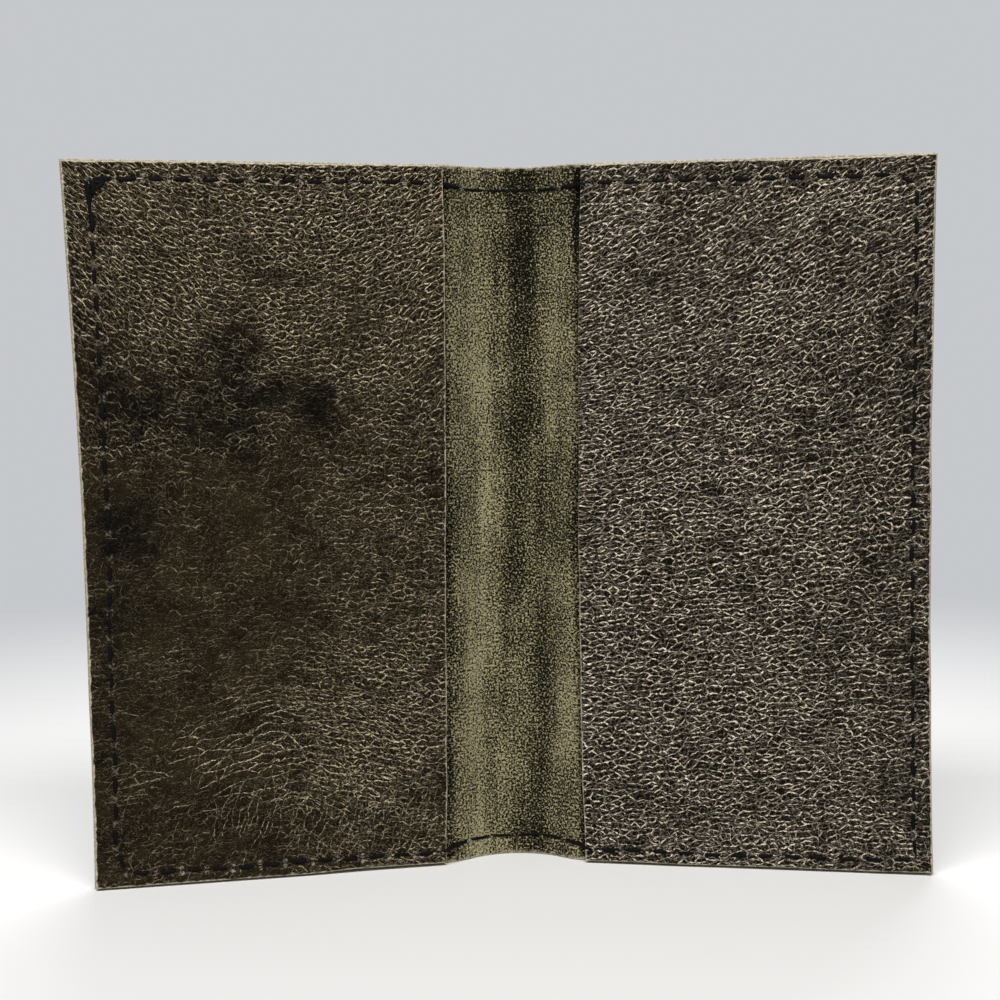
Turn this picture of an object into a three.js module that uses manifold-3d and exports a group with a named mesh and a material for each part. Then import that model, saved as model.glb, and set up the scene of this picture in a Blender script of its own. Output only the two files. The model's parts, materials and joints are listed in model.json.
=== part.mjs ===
// A business card holder: one leather cover, folded like a book, with a pocket sewn on each wing.
// It stands open on its lower edges, the spine at the back (+Y) and the pockets facing -Y.
// Millimetres, +Z up. The origin is the middle of the underside of the whole holder.

import * as THREE from 'three';
import { mergeVertices } from 'three/addons/utils/BufferGeometryUtils.js';
import Module from 'manifold-3d';

const wasm = await Module();
wasm.setup();

// Cover: each wing reaches from its fold line to its outer edge. The left one was cut out of square.
const HOLDER_HEIGHT = 103;
const LEFT_REACH_TOP = 55.5;
const LEFT_REACH_BOTTOM = 53.2;
const RIGHT_REACH_TOP = 52.4;
const RIGHT_REACH_BOTTOM = 52.4;
const COVER_THICKNESS = 1.3;

// Spine: the strip between the two fold lines, an arc that bows back in the middle.
const SPINE_WIDTH = 17.2;
const SPINE_BOW = 4.5;
const FOLD_GAP = 0.5;

// Wings lean towards the viewer from a flat open cover.
const LEFT_LEAN_DEGREES = 12;
const RIGHT_LEAN_DEGREES = 12;

// Pockets: the mouth is beside the spine, and the cover shows past the three sewn sides.
const POCKET_THICKNESS = 1.4;
const CARD_SLOT = 0.8;
const MOUTH_SETBACK = 2.0;
const COVER_MARGIN = 0.4;

// Seam: a lockstitch of a face thread and a back thread, in slits punched through the leather.
const SEAM_FROM_TOP = 3.2;
const SEAM_FROM_SIDE = 2.8;
const SEAM_FROM_BOTTOM = 2.2;
const STITCH_PITCH = 3.8;
const MOUTH_STITCH = 1.5;
const FOLD_STITCH = 1.4;
const THREAD_WIDTH = 0.65;
const THREAD_HEIGHT = 0.5;
const SEWING_CLEARANCE = 0.1;

// Smoothness of the curved spine and of its rounded ends.
const SPINE_STEPS = 24;
const STITCH_STEPS = 4;
const END_STEPS = 6;

const GRAIN_COLOUR = 0x3c342a;
const SUEDE_COLOUR = 0x786e50;
const THREAD_COLOUR = 0x0c0c0c;

const COVER_HALF = COVER_THICKNESS / 2;
const POCKET_BACK = -COVER_HALF - CARD_SLOT;
const POCKET_FACE = POCKET_BACK - POCKET_THICKNESS;
const HALF_SPINE = SPINE_WIDTH / 2;
const ARC_RADIUS = (HALF_SPINE ** 2 + SPINE_BOW ** 2) / (2 * SPINE_BOW);
const HALF_ARC = ARC_RADIUS * Math.asin(HALF_SPINE / ARC_RADIUS);
const PANEL_START = COVER_HALF + FOLD_GAP;

// A stitch goes down and up the same slit, so a peg is two strands long.
const PEG_HALF = THREAD_HEIGHT;
const SLIT_HALF = PEG_HALF + SEWING_CLEARANCE;
const SLIT_WIDTH = THREAD_WIDTH + 2 * SEWING_CLEARANCE;
const SLIT_OVERRUN = THREAD_HEIGHT;
const LOCK_GAP = SEWING_CLEARANCE;

const SEAM_LOW = SEAM_FROM_BOTTOM;
const SEAM_HIGH = HOLDER_HEIGHT - SEAM_FROM_TOP;

// Solids

function extrude(shape, depth) {
  return new THREE.ExtrudeGeometry(shape, { depth, steps: 1, bevelEnabled: false });
}

function solidOf(geometry) {
  const bare = geometry.clone();
  bare.deleteAttribute('normal');
  bare.deleteAttribute('uv');
  const merged = mergeVertices(bare);
  const vertProperties = new Float32Array(merged.attributes.position.array);
  const triVerts = new Uint32Array(merged.index.array);
  return new wasm.Manifold(new wasm.Mesh({ numProp: 3, vertProperties, triVerts }));
}

function geometryOf(solid) {
  const mesh = solid.getMesh();
  const geometry = new THREE.BufferGeometry();
  geometry.setAttribute('position', new THREE.BufferAttribute(mesh.vertProperties, 3));
  geometry.setIndex(new THREE.BufferAttribute(mesh.triVerts, 1));
  geometry.computeVertexNormals();
  return geometry;
}

function joined(geometries) {
  return geometryOf(geometries.map(solidOf).reduce((whole, piece) => whole.add(piece)));
}

function punched(geometry, cutters) {
  return geometryOf(cutters.map(solidOf).reduce((whole, cutter) => whole.subtract(cutter), solidOf(geometry)));
}

// A flat sheet with its outline in the XZ plane, from backDepth towards -Y.
function sheetOf(points, backDepth, thickness) {
  return extrude(new THREE.Shape(points), thickness).rotateX(Math.PI / 2).translate(0, backDepth, 0);
}

function leather(colour) {
  return new THREE.MeshStandardMaterial({ color: colour, roughness: 0.6, metalness: 0 });
}

function thread() {
  return new THREE.MeshStandardMaterial({ color: THREAD_COLOUR, roughness: 0.7, metalness: 0 });
}

function named(name, geometry, material) {
  const mesh = new THREE.Mesh(geometry, material);
  mesh.name = name;
  return mesh;
}

// Seam runs: a straight row of slits from one point of a flat wing to another

function stationsAlong(length) {
  const count = Math.max(1, Math.round(length / STITCH_PITCH));
  return Array.from({ length: count + 1 }, (_, i) => (i * length) / count);
}

function makeRun(from, to, endsPegged) {
  const along = to.clone().sub(from);
  const stations = stationsAlong(along.length());
  const inner = stations.slice(1, -1);
  return { from, along: along.normalize(), stations, pegged: endsPegged ? stations : inner };
}

// The outline of one thread: a bar on the leather with a peg down each of its slits. bar.near faces the
// leather, bar.far is its outer side, and bend(s, depth) places the outline's points.
function threadOutline(stations, pegged, bar, steps, bend) {
  const halfAt = (station) => (pegged.includes(station) ? PEG_HALF : 0);
  const ends = [stations[0] - halfAt(stations[0]), stations.at(-1) + halfAt(stations.at(-1))];
  const points = [];
  const sampleCount = steps * (stations.length - 1);
  for (let i = 0; i <= sampleCount; i += 1) {
    points.push(bend(THREE.MathUtils.lerp(ends[0], ends[1], i / sampleCount), bar.far));
  }
  for (let i = stations.length - 1; i >= 0; i -= 1) {
    const station = stations[i];
    const half = halfAt(station);
    points.push(bend(station + half, bar.near));
    if (half > 0) {
      points.push(bend(station + half, bar.tip), bend(station - half, bar.tip), bend(station - half, bar.near));
    }
    for (let step = 1; i > 0 && step < steps; step += 1) {
      const previous = stations[i - 1] + halfAt(stations[i - 1]);
      points.push(bend(THREE.MathUtils.lerp(station - half, previous, step / steps), bar.near));
    }
  }
  return new THREE.Shape(points);
}

// Depths of the bar and of the pegs' tips for a thread on the face (-Y) or on the back (+Y) of the layers.
function threadDepths(face, back, onFace) {
  const lock = (face + back) / 2;
  const outward = onFace ? -1 : 1;
  const near = (onFace ? face : back) + outward * SEWING_CLEARANCE;
  return { near, far: near + outward * THREAD_HEIGHT, tip: lock + outward * LOCK_GAP / 2 };
}

function straightThread(run, depths) {
  const shape = threadOutline(run.stations, run.pegged, depths, 1, (s, depth) => new THREE.Vector2(s, depth));
  const along = new THREE.Vector3(run.along.x, 0, run.along.y);
  const depthAxis = new THREE.Vector3(0, 1, 0);
  const across = along.clone().cross(depthAxis);
  const place = new THREE.Matrix4().makeBasis(along, depthAxis, across);
  place.setPosition(run.from.x, 0, run.from.y);
  return extrude(shape, THREAD_WIDTH).translate(0, 0, -THREAD_WIDTH / 2).applyMatrix4(place);
}

function slitsOf(run) {
  const across = new THREE.Vector2(-run.along.y, run.along.x);
  const corner = (station, alongSign, acrossSign) => run.from.clone()
    .addScaledVector(run.along, station + alongSign * SLIT_HALF)
    .addScaledVector(across, (acrossSign * SLIT_WIDTH) / 2);
  return run.pegged.map((station) => sheetOf([
    corner(station, -1, -1), corner(station, 1, -1), corner(station, 1, 1), corner(station, -1, 1),
  ], COVER_HALF + SLIT_OVERRUN, COVER_HALF - POCKET_FACE + 2 * SLIT_OVERRUN));
}

// Wings: built with the fold line on the Z axis, then turned about it

function makeWing(prefix, side, reachBottom, reachTop, leanDegrees) {
  const edgeAt = (z) => THREE.MathUtils.lerp(reachBottom, reachTop, z / HOLDER_HEIGHT);
  const point = (out, z) => new THREE.Vector2(side * out, z);
  const panelOutline = (start, margin) => {
    const low = margin;
    const high = HOLDER_HEIGHT - margin;
    return [point(start, low), point(edgeAt(low) - margin, low), point(edgeAt(high) - margin, high),
      point(start, high)];
  };

  const seamStart = MOUTH_SETBACK + MOUTH_STITCH;
  const lowCorner = point(edgeAt(SEAM_LOW) - SEAM_FROM_SIDE, SEAM_LOW);
  const highCorner = point(edgeAt(SEAM_HIGH) - SEAM_FROM_SIDE, SEAM_HIGH);
  const runs = [
    makeRun(point(seamStart, SEAM_HIGH), highCorner, true),
    makeRun(highCorner, lowCorner, false),
    makeRun(lowCorner, point(seamStart, SEAM_LOW), true),
  ];
  const slits = runs.flatMap(slitsOf);
  const threadOn = (onFace) => {
    const depths = threadDepths(POCKET_FACE, COVER_HALF, onFace);
    return joined(runs.map((run) => straightThread(run, depths)));
  };

  const panel = sheetOf(panelOutline(PANEL_START, 0), COVER_HALF, COVER_THICKNESS);
  const pocket = sheetOf(panelOutline(MOUTH_SETBACK, COVER_MARGIN), POCKET_BACK, POCKET_THICKNESS);
  const wing = new THREE.Group();
  wing.add(
    named(`cover_${prefix}_panel`, punched(panel, slits), leather(GRAIN_COLOUR)),
    named(`${prefix}_pocket`, punched(pocket, slits), leather(GRAIN_COLOUR)),
    named(`${prefix}_face_thread`, threadOn(true), thread()),
    named(`${prefix}_back_thread`, threadOn(false), thread()),
  );
  wing.position.x = side * HALF_SPINE;
  wing.rotation.z = -side * THREE.MathUtils.degToRad(leanDegrees);
  return wing;
}

// Spine: points on its arc, this far along from the middle and this deep behind the cover's middle layer

function onSpine(s, depth) {
  const angle = s / ARC_RADIUS;
  const radius = ARC_RADIUS + depth;
  return new THREE.Vector2(radius * Math.sin(angle), radius * Math.cos(angle) - ARC_RADIUS + SPINE_BOW);
}

function spineOutline() {
  const side = (from, to, depth) => Array.from({ length: SPINE_STEPS + 1 },
    (_, i) => onSpine(THREE.MathUtils.lerp(from, to, i / SPINE_STEPS), depth));
  const roundEnd = (end) => Array.from({ length: END_STEPS - 1 }, (_, i) => {
    const turn = ((i + 1) * Math.PI) / END_STEPS;
    const slope = (end * HALF_ARC) / ARC_RADIUS;
    const outward = new THREE.Vector2(Math.cos(slope), -Math.sin(slope));
    return onSpine(end * HALF_ARC, -end * COVER_HALF * Math.cos(turn))
      .addScaledVector(outward, end * COVER_HALF * Math.sin(turn));
  });
  return new THREE.Shape([
    ...side(-HALF_ARC, HALF_ARC, -COVER_HALF), ...roundEnd(1),
    ...side(HALF_ARC, -HALF_ARC, COVER_HALF), ...roundEnd(-1),
  ]);
}

function spineSlit(s, height) {
  const through = COVER_HALF + SLIT_OVERRUN;
  const shape = new THREE.Shape([
    onSpine(s - SLIT_HALF, -through), onSpine(s + SLIT_HALF, -through),
    onSpine(s + SLIT_HALF, through), onSpine(s - SLIT_HALF, through),
  ]);
  return extrude(shape, SLIT_WIDTH).translate(0, 0, height - SLIT_WIDTH / 2);
}

function makeSpine() {
  const first = FOLD_STITCH - HALF_ARC;
  const stations = stationsAlong(2 * (HALF_ARC - FOLD_STITCH)).map((s) => first + s);
  const rows = { top: SEAM_HIGH, bottom: SEAM_LOW };
  const slits = Object.values(rows).flatMap((height) => stations.map((s) => spineSlit(s, height)));

  const spine = new THREE.Group();
  spine.add(named('cover_spine', punched(extrude(spineOutline(), HOLDER_HEIGHT), slits), leather(SUEDE_COLOUR)));
  for (const [row, height] of Object.entries(rows)) {
    for (const onFace of [true, false]) {
      const depths = threadDepths(-COVER_HALF, COVER_HALF, onFace);
      const outline = threadOutline(stations, stations, depths, STITCH_STEPS, onSpine);
      const geometry = extrude(outline, THREAD_WIDTH).translate(0, 0, height - THREAD_WIDTH / 2);
      spine.add(named(`spine_${row}_${onFace ? 'face' : 'back'}_thread`, geometry, thread()));
    }
  }
  return spine;
}

const holder = new THREE.Group();
holder.add(
  makeSpine(),
  makeWing('left', -1, LEFT_REACH_BOTTOM, LEFT_REACH_TOP, LEFT_LEAN_DEGREES),
  makeWing('right', 1, RIGHT_REACH_BOTTOM, RIGHT_REACH_TOP, RIGHT_LEAN_DEGREES),
);

holder.updateMatrixWorld(true);
const box = new THREE.Box3().setFromObject(holder, true);
const middle = box.getCenter(new THREE.Vector3());
holder.position.set(-middle.x, -middle.y, -box.min.z);

export default holder;
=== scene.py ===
"""A folding leather card holder: hides, pockets and hand-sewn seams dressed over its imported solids."""
import json
import math
from dataclasses import dataclass
from typing import Callable

import bpy
import numpy as np
from mathutils import Matrix, Vector


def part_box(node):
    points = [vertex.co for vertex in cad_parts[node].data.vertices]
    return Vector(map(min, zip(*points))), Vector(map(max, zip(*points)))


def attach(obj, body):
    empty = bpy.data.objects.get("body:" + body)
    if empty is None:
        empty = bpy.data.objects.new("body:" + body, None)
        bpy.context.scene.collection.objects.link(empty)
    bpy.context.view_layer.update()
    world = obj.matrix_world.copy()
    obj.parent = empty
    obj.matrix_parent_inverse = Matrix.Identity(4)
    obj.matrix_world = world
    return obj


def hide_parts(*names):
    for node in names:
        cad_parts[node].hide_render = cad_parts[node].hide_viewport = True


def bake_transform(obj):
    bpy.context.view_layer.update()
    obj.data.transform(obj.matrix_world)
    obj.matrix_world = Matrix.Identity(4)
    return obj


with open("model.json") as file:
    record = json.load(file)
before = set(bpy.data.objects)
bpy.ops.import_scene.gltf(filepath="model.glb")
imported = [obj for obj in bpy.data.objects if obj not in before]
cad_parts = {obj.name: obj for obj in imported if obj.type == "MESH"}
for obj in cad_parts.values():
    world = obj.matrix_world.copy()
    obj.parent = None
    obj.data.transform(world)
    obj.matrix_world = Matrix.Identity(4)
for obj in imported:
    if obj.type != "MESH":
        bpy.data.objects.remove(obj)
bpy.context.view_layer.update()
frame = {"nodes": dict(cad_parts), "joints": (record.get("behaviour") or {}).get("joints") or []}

MM = 0.001               # every size below is in millimetres

# The hides
FOLD_ROUNDING = 1.2      # how softly the cover turns at a fold line
BEND_ON_SPINE = 2.2      # the stretch of cover on each side of a fold line that Wing.bend measures out
BEND_ON_WING = 1.7
EDGE_HOLLOW = 0.65       # how far the outer edges draw in at mid-height
EDGE_WANDER = 0.1        # unevenness of the knife cuts
CUT_ROUNDING = 0.3       # rounding of a cut edge
CUT_STATIONS = (0.0, 0.12, 0.35, 0.65, 1.0)   # places in the rounding, as shares of it
RAW_WIDTH = 0.2          # pale band along a pocket's cut edge
SIDE_MARGIN = 0.15       # from the cover's outer edge to a pocket's
COVER_RAW_WIDTH = 0.75   # pale band along the cover's cut edge, mostly under the pockets
RIM_GAP = 0.06           # between the layers where the seam holds them
PUFF_WIDTH = 11.0        # from the seam to where a pocket stands a full slot off the cover
WAVE_DEPTH = 0.35        # how far the wings are from flat

# The seam
STITCH_PITCH = 3.8
FIRST_HOLE = 3.5         # from the fold line to a wing's first hole
SPINE_HOLE = 8.2         # from the spine's middle to its last hole
SPINE_SEAM_TOP = 3.4     # from the cover's edges to the rows across the spine
SPINE_SEAM_BOTTOM = 2.9
HOLE_WANDER = 0.14       # unevenness of the holes
THREAD_HALF_WIDTH = 0.3
THREAD_HALF_HEIGHT = 0.22
THREAD_SINK = 0.14       # how far a stitch's middle lies under the leather's face
THREAD_DIVE = 0.75       # how deep a stitch's ends go into its holes
GROOVE_DEPTH = 0.24
GROOVE_WIDTH = 0.42
PUCKER_HEIGHT = 0.15     # how far the leather bulges on both sides of a hole
PUCKER_ASIDE = 0.42      # from the seam to the top of a bulge
PUCKER_WIDTH = 0.3
PINCH_DEPTH = 0.3        # how far the leather is drawn in at a hole
PINCH_WIDTH = 0.16
PUCKER_LENGTH = 0.5      # how far a bulge and a pinch go along the seam
SEAM_SIGHT = 2.6         # how far from a hole its marks are worked out
HOLE_SHIFT = 7.3         # sets each hole's marks apart in the noise
STITCH_BOW = 0.1         # how far a stitch may bow sideways
TWIST_LENGTH = 1.5       # one turn of a thread's three strands
TWIST_RELIEF = 0.16      # how far the strands stand out, as a share of the thread
LEAST_BULK = 0.8         # the thinnest and the thickest stitches, as shares of the thread
MOST_BULK = 1.12

# The meshes
POCKET_STEP = 0.3
COVER_STEP = 0.4
HIDDEN_STEP = 6          # one column in six is enough where a pocket covers the hide
NOISE_TABLE = 64         # random numbers along each side of a noise's table
THREAD_RINGS = 18        # in each stitch
THREAD_SIDES = 12

# The camera, fitted to the photograph's outline, in millimetres and degrees
CAMERA_LEFT = 9.17       # of the spine's middle
CAMERA_FORWARD = 272.0   # of the fold lines
CAMERA_HEIGHT = 73.64
CAMERA_PAN = -1.52
CAMERA_DROP = 4.125      # how far it looks down
CAMERA_ROLL = -0.6
CAMERA_LENS = 66.6
CAMERA_SENSOR = 36.0


# Smooth shapes and seeded patterns

def ease(start, end, value):
    """0 up to start, 1 from end on, with a smooth climb between them."""
    share = np.clip((value - start) / (end - start), 0.0, 1.0)
    return share * share * (3.0 - 2.0 * share)


def hump(distance, width):
    """1 at no distance, fading away over about the given width."""
    return np.exp(-np.square(np.asarray(distance) / width))


def noise(across, up, seed):
    """Smooth noise from -1 to 1, with features about one unit across."""
    table = np.random.default_rng(seed).uniform(-1.0, 1.0, (NOISE_TABLE, NOISE_TABLE))
    across, up = np.broadcast_arrays(np.asarray(across, float), np.asarray(up, float))
    column = np.floor(across).astype(int)
    row = np.floor(up).astype(int)
    right = ease(0.0, 1.0, across - column)
    above = ease(0.0, 1.0, up - row)

    def corner(step_right, step_up):
        return table[(column + step_right) % NOISE_TABLE, (row + step_up) % NOISE_TABLE]

    low = corner(0, 0) + (corner(1, 0) - corner(0, 0)) * right
    high = corner(0, 1) + (corner(1, 1) - corner(0, 1)) * right
    return low + (high - low) * above


def cell_border(across, up, seed):
    """Each point's distance from the border of its cell, in a pattern of cells about one unit across."""
    spots = np.random.default_rng(seed).uniform(0.1, 0.9, (NOISE_TABLE, NOISE_TABLE, 2))
    column = np.floor(across).astype(int)
    row = np.floor(up).astype(int)
    nearest = np.full(np.shape(across), np.inf)
    second = np.full(np.shape(across), np.inf)
    for step_right in (-1, 0, 1):
        for step_up in (-1, 0, 1):
            spot = spots[(column + step_right) % NOISE_TABLE, (row + step_up) % NOISE_TABLE]
            gap = np.hypot(column + step_right + spot[..., 0] - across, row + step_up + spot[..., 1] - up)
            second = np.minimum(second, np.maximum(nearest, gap))
            nearest = np.minimum(nearest, gap)
    return second - nearest


def cut_drop(distance):
    """How far a sheet's face falls away at this distance inside its cut edge."""
    inside = np.clip(CUT_ROUNDING - distance, 0.0, CUT_ROUNDING)
    return CUT_ROUNDING - np.sqrt(CUT_ROUNDING ** 2 - inside ** 2)


def stations(start, end, step, cut_start=True):
    """Places from start to end about a step apart, with more of them in the rounding of a cut edge."""
    lip = CUT_ROUNDING * np.array(CUT_STATIONS)
    first = start + lip if cut_start else np.array([start])
    last = end - lip[::-1]
    count = round((last[0] - first[-1]) / step)
    middle = np.linspace(first[-1], last[0], count + 1)
    return np.concatenate([first[:-1], middle, last[1:]])


# The wings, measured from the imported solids

@dataclass
class Style:
    """What the photograph shows of one pocket: its mouth, its seam and its leather."""

    seam_top: float          # from the cover's edges to the seam
    seam_side: float
    seam_lean: float         # how much further in the upright seam lies at its top
    seam_bottom: float
    top_corner: float        # from the seam's corners to where it starts to turn
    bottom_corner: float
    highlight_share: float            # how strong the painted highlights at the holes are
    shaded_mouth: float        # how much of the mouth's pale cut edge is painted leather-dark higher up, as shade
    mouth_line: Callable     # how far the mouth lies from straight at a share of its height


class Wing:
    """One wing in its own millimetres: out from its fold line, forward of the cover's middle, and up.

    Places with a negative out lie on the spine: up to its middle, and on towards the other fold line.
    """

    def __init__(self, side, joint, panel, pocket, seed, style):
        self.side = side
        self.style = style
        self.body = joint["child"]
        self.fold = np.array(joint["pos_m"]) / MM
        self.lean = -math.radians(joint["range_deg"][0])
        self.seed = seed
        self.panel = panel
        self.pocket = pocket
        low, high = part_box("cover_spine")
        self.half_chord = abs(self.fold[0] - (low.x + high.x) / 2 / MM)
        out, forward, up = self.measure(panel)
        self.cover_half = float(np.ptp(forward)) / 2
        self.height = float(up.max())
        self.reach_low = float(out[up < up.min() + CUT_ROUNDING].max())
        self.reach_high = float(out[up > up.max() - CUT_ROUNDING].max())
        out, forward, up = self.measure(pocket)
        self.mouth = float(out.min())
        self.slot = float(forward.min()) - self.cover_half
        self.pocket_thickness = float(np.ptp(forward))
        self.margin = float(up.min())
        bow = (high.y - low.y) / MM - 2 * self.cover_half
        self.arc_radius = (self.half_chord ** 2 + bow ** 2) / (2 * bow)
        self.half_spine = self.arc_radius * math.asin(self.half_chord / self.arc_radius)
        self.line = self.plan(bow)

    def measure(self, node):
        """A node's points in the wing's own millimetres."""
        points = np.array([vertex.co for vertex in frame["nodes"][node].data.vertices]) / MM
        across = (points[:, 0] - self.fold[0]) * self.side
        towards = self.fold[1] - points[:, 1]
        out = across * math.cos(self.lean) + towards * math.sin(self.lean)
        forward = towards * math.cos(self.lean) - across * math.sin(self.lean)
        return out, forward, points[:, 2]

    def plan(self, bow):
        """The cover's middle line seen from above: its stations, points and forward directions."""
        step = 0.05
        spare = 10.0         # past the outer edge, since smoothing spoils both ends of the line
        along = np.arange(-2.5 * self.half_spine, self.reach_high + spare, step)
        from_middle = np.abs(along + self.half_spine)
        beyond = np.maximum(from_middle - self.half_spine, 0.0)
        angle = np.minimum(from_middle, self.half_spine) / self.arc_radius
        across = self.arc_radius * np.sin(angle) + beyond * math.cos(self.lean)
        across *= np.sign(along + self.half_spine)
        back = self.arc_radius * (np.cos(angle) - 1.0) + bow - beyond * math.sin(self.lean)
        spread = np.arange(-3 * FOLD_ROUNDING, 3 * FOLD_ROUNDING + step, step)
        kernel = hump(spread, FOLD_ROUNDING * math.sqrt(2.0))
        kernel /= kernel.sum()
        across = np.convolve(across, kernel, "same")
        back = np.convolve(back, kernel, "same")
        turn = np.arctan2(np.gradient(back), np.gradient(across))
        whole = slice(len(kernel), -len(kernel))
        return along[whole], across[whole], back[whole], turn[whole]

    def place(self, out, forward, up):
        """Points of the wing as metres in the shared frame."""
        out, forward, up = np.broadcast_arrays(out, forward, up)
        along, across, back, turn = self.line
        tilt = np.interp(out, along, turn)
        swell = WAVE_DEPTH * ease(3.0, 18.0, out) * noise(out / 27.0, up / 31.0, self.seed)
        lift = forward + swell
        x = np.interp(out, along, across) + np.sin(tilt) * lift
        y = np.interp(out, along, back) - np.cos(tilt) * lift
        middle = self.fold[0] - self.side * self.half_chord
        return np.stack([middle + self.side * x, self.fold[1] + y, up], axis=-1) * MM

    def seam_line(self, up):
        """How far out the upright seam lies at this height."""
        return self.reach(up) - self.style.seam_side - self.style.seam_lean * up / self.height

    def reach(self, up):
        """How far out the cover's cut edge lies at this height."""
        share = np.clip(np.asarray(up) / self.height, 0.0, 1.0)
        straight = self.reach_low + (self.reach_high - self.reach_low) * share
        wander = EDGE_WANDER * noise(np.asarray(up) / 9.0, 0.5, self.seed + 1)
        return straight - EDGE_HOLLOW * 4 * share * (1 - share) + wander

    def bend(self):
        """The start and the end, in metres, of a stretch on both sides of the fold."""
        start = self.fold - np.array([self.side * BEND_ON_SPINE, 0.0, 0.0])
        end = self.fold + np.array([self.side * BEND_ON_WING, 0.0, 0.0])
        return tuple(start * MM), tuple(end * MM)


joints = {joint["name"]: joint for joint in frame["joints"]}
left = Wing(-1, joints["left_fold"], "cover_left_panel", "left_pocket", seed=11, style=Style(
    seam_top=2.85, seam_side=3.0, seam_lean=0.85, seam_bottom=2.1, top_corner=0.3, bottom_corner=3.4,
    highlight_share=1.0, shaded_mouth=0.0, mouth_line=lambda share: 0.35 - 0.7 * share))
right = Wing(1, joints["right_fold"], "cover_right_panel", "right_pocket", seed=31, style=Style(
    seam_top=3.0, seam_side=2.6, seam_lean=0.0, seam_bottom=2.1, top_corner=1.6, bottom_corner=0.5,
    highlight_share=0.5, shaded_mouth=0.85, mouth_line=lambda share: -0.45 * 4 * share * (1 - share)))


# The seam's holes and the leather's shape around them

def rounded(corner, before, after, radius):
    """A curve that cuts a corner between two neighbouring points, this far before and after it."""
    corner, before, after = (np.array(point) for point in (corner, before, after))
    start = corner + (before - corner) / np.linalg.norm(before - corner) * radius
    end = corner + (after - corner) / np.linalg.norm(after - corner) * radius
    share = np.linspace(0.0, 1.0, 12)[:, None]
    return (1 - share) ** 2 * start + 2 * share * (1 - share) * corner + share ** 2 * end


def holes_along(points, pitch, seed):
    """Holes about one pitch apart along a line, wandering a little as hand-sewn ones do."""
    lengths = np.concatenate([[0.0], np.cumsum(np.linalg.norm(np.diff(points, axis=0), axis=1))])
    count = round(lengths[-1] / pitch)
    at = np.linspace(0.0, lengths[-1], count + 1)
    holes = np.stack([np.interp(at, lengths, points[:, axis]) for axis in (0, 1)], axis=-1)
    holes[1:-1] += np.random.default_rng(seed).uniform(-HOLE_WANDER, HOLE_WANDER, holes[1:-1].shape)
    return holes


def wing_holes(wing):
    """A wing's holes, from the top of the pocket's mouth out, down and back to the bottom of it."""
    style = wing.style
    top = wing.height - style.seam_top
    bottom = style.seam_bottom
    heights = np.linspace(top - style.top_corner, bottom + style.bottom_corner, 60)
    side = np.stack([wing.seam_line(heights), heights], axis=-1)
    top_corner = (float(wing.seam_line(top)), top)
    bottom_corner = (float(wing.seam_line(bottom)), bottom)
    first = (FIRST_HOLE, top)
    last = (FIRST_HOLE, bottom)
    turn = rounded(top_corner, first, side[1], style.top_corner)
    across = np.concatenate([[first], turn])
    bottom_turn = rounded(bottom_corner, side[-2], last, style.bottom_corner)
    down = np.concatenate([turn[-1:], side[1:-1], bottom_turn, [last]])
    top_holes = holes_along(across, STITCH_PITCH, wing.seed + 2)
    wing.corner_hole = len(top_holes) - 1
    return np.concatenate([top_holes, holes_along(down, STITCH_PITCH, wing.seed + 3)[1:]])


def spine_holes(height, seed):
    """A row of holes across the spine, measured from its middle, from the left fold to the right one."""
    return holes_along(np.array([[-SPINE_HOLE, height], [SPINE_HOLE, height]]), STITCH_PITCH, seed)


def from_fold(wing, holes):
    """Spine holes in a wing's own millimetres, from the far fold to its own."""
    across = np.stack([wing.side * holes[:, 0] - wing.half_spine, holes[:, 1]], axis=-1)
    return across[::wing.side]


def sewn(out, up, holes):
    """The leather's rise at a seam, each point's place by its nearest hole, and how upright the seam is.

    A place is its distances along and across the seam and a number of the hole's own.
    """
    rise = np.zeros(np.shape(out))
    nearest = np.full(np.shape(out), SEAM_SIGHT)
    seam = np.full(np.shape(out) + (3,), SEAM_SIGHT)
    upright = np.zeros(np.shape(out))
    for first, second in zip(holes[:-1], holes[1:]):
        step = second - first
        length = np.linalg.norm(step)
        along = ((out - first[0]) * step[0] + (up - first[1]) * step[1]) / length
        across = ((up - first[1]) * step[0] - (out - first[0]) * step[1]) / length
        near = ease(0.0, 1.0, along) * ease(0.0, 1.0, length - along)
        rise = np.minimum(rise, -GROOVE_DEPTH * hump(across, GROOVE_WIDTH) * near)
    directions = np.gradient(holes, axis=0)
    directions /= np.linalg.norm(directions, axis=1)[:, None]
    for number, (hole, (right_share, up_share)) in enumerate(zip(holes, directions)):
        along = np.abs((out - hole[0]) * right_share + (up - hole[1]) * up_share)
        across = (up - hole[1]) * right_share - (out - hole[0]) * up_share
        bulge = PUCKER_HEIGHT * hump(np.abs(across) - PUCKER_ASIDE, PUCKER_WIDTH)
        rise += bulge * hump(along, PUCKER_LENGTH)
        rise -= PINCH_DEPTH * hump(across, PINCH_WIDTH) * hump(along, PUCKER_LENGTH)
        gap = np.hypot(along, across)
        closer = gap < nearest
        nearest = np.where(closer, gap, nearest)
        upright = np.where(closer, abs(up_share), upright)
        local = np.stack([along, across, np.full(np.shape(out), HOLE_SHIFT * number)], axis=-1)
        seam = np.where(closer[..., None], local, seam)
    return rise, seam, upright


# Meshes

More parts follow.
